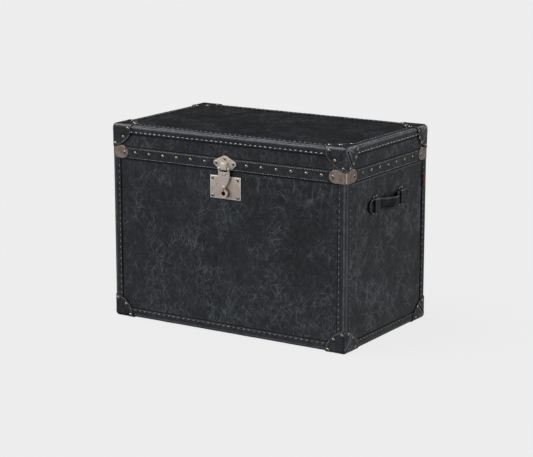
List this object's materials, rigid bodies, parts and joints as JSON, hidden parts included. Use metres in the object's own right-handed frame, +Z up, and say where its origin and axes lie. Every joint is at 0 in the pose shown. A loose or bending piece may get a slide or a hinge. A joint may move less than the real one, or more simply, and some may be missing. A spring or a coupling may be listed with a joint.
{
  "type": "steamer trunk",
  "caption": "Black leather-covered steamer trunk with a back-hinged lid, stitched bindings, nailed corner caps, metal corner clamps, a front hasp lock and side pull handles.",
  "frame": {"origin": "on the floor under the middle of the case", "axes": "+X towards the right-hand side seen from the front, front with the lock faces -Y, +Z up"},
  "size_m": [0.8056, 0.4695, 0.5526],
  "materials": {
    "case_leather": "waxed black leather with fine pale scuffs, satin",
    "binding_leather": "smooth black leather, satin",
    "cap_leather": "smooth black leather, satin",
    "handle_leather": "smooth black leather, slightly glossy",
    "tag_leather": "terracotta leather, matte",
    "plywood": "bare plywood",
    "tongue_wood": "oiled hardwood",
    "lining_fabric": "woven cotton",
    "lock_metal": "warm antique nickel, satin",
    "hinge_metal": "aged brass",
    "clamp_metal": "mottled brown bronze",
    "nail_metal": "antique nickel over brass",
    "thread": "waxed linen thread",
    "pin_steel": "plain steel"
  },
  "bodies": {
    "case": {"front_panel": "plywood", "back_panel": "plywood", "left_panel": "plywood", "right_panel": "plywood", "bottom_panel": "plywood", "front_skin": "case_leather", "back_skin": "case_leather", "left_skin": "case_leather", "right_skin": "case_leather", "bottom_skin": "case_leather", "corner_trim_front_left": "binding_leather", "corner_trim_front_right": "binding_leather", "corner_trim_back_left": "binding_leather", "corner_trim_back_right": "binding_leather", "bottom_binding": "binding_leather", "bottom_cap_front_left": "cap_leather", "bottom_cap_front_right": "cap_leather", "bottom_cap_back_left": "cap_leather", "bottom_cap_back_right": "cap_leather", "rim_tongue": "tongue_wood", "case_lining": "lining_fabric", "case_nails": "nail_metal", "lock_plate": "lock_metal", "lock_boss": "lock_metal", "lock_nails": "lock_metal", "handle_loops_left": "handle_leather", "handle_loops_right": "handle_leather", "handle_rivets": "nail_metal", "leather_tag": "tag_leather", "hinge_case_leaves": "hinge_metal", "hinge_case_screws": "hinge_metal", "hinge_pins": "pin_steel"},
    "lid": {"hinge_lid_leaves": "hinge_metal", "hinge_lid_screws": "hinge_metal", "lid_top_panel": "plywood", "lid_front_panel": "plywood", "lid_back_panel": "plywood", "lid_left_panel": "plywood", "lid_right_panel": "plywood", "lid_top_skin": "case_leather", "lid_side_skins": "case_leather", "lid_top_binding": "binding_leather", "lid_band": "binding_leather", "top_cap_front_left": "cap_leather", "top_cap_front_right": "cap_leather", "top_cap_back_left": "cap_leather", "top_cap_back_right": "cap_leather", "corner_clamps": "clamp_metal", "lid_nails": "nail_metal", "lid_lining": "lining_fabric", "hasp_hinge_plate": "lock_metal", "hasp_plate_nails": "lock_metal", "hasp_pin": "pin_steel"},
    "hasp": {"hasp": "lock_metal"},
    "key_plug": {"key_plug": "lock_metal", "plug_clip": "pin_steel"},
    "left_handle": {"handle_strap_left": "handle_leather"},
    "right_handle": {"handle_strap_right": "handle_leather"}
  },
  "joints": [
    {"name": "lid_hinge", "type": "hinge", "parent": "case", "child": "lid", "pos_m": [0, 0.229, 0.454], "axis": [-1, 0, 0], "range_deg": [0, 100]},
    {"name": "hasp_hinge", "type": "hinge", "parent": "lid", "child": "hasp", "pos_m": [0, -0.2286, 0.458], "axis": [-1, 0, 0], "range_deg": [0, 120]},
    {"name": "key_turn", "type": "hinge", "parent": "case", "child": "key_plug", "pos_m": [0, -0.2225, 0.392], "axis": [0, -1, 0], "range_deg": [0, 90]},
    {"name": "left_handle_pull", "type": "slide", "parent": "case", "child": "left_handle", "axis": [-1, 0, 0], "range_m": [0, 0.003]},
    {"name": "right_handle_pull", "type": "slide", "parent": "case", "child": "right_handle", "axis": [1, 0, 0], "range_m": [0, 0.003]}
  ]
}
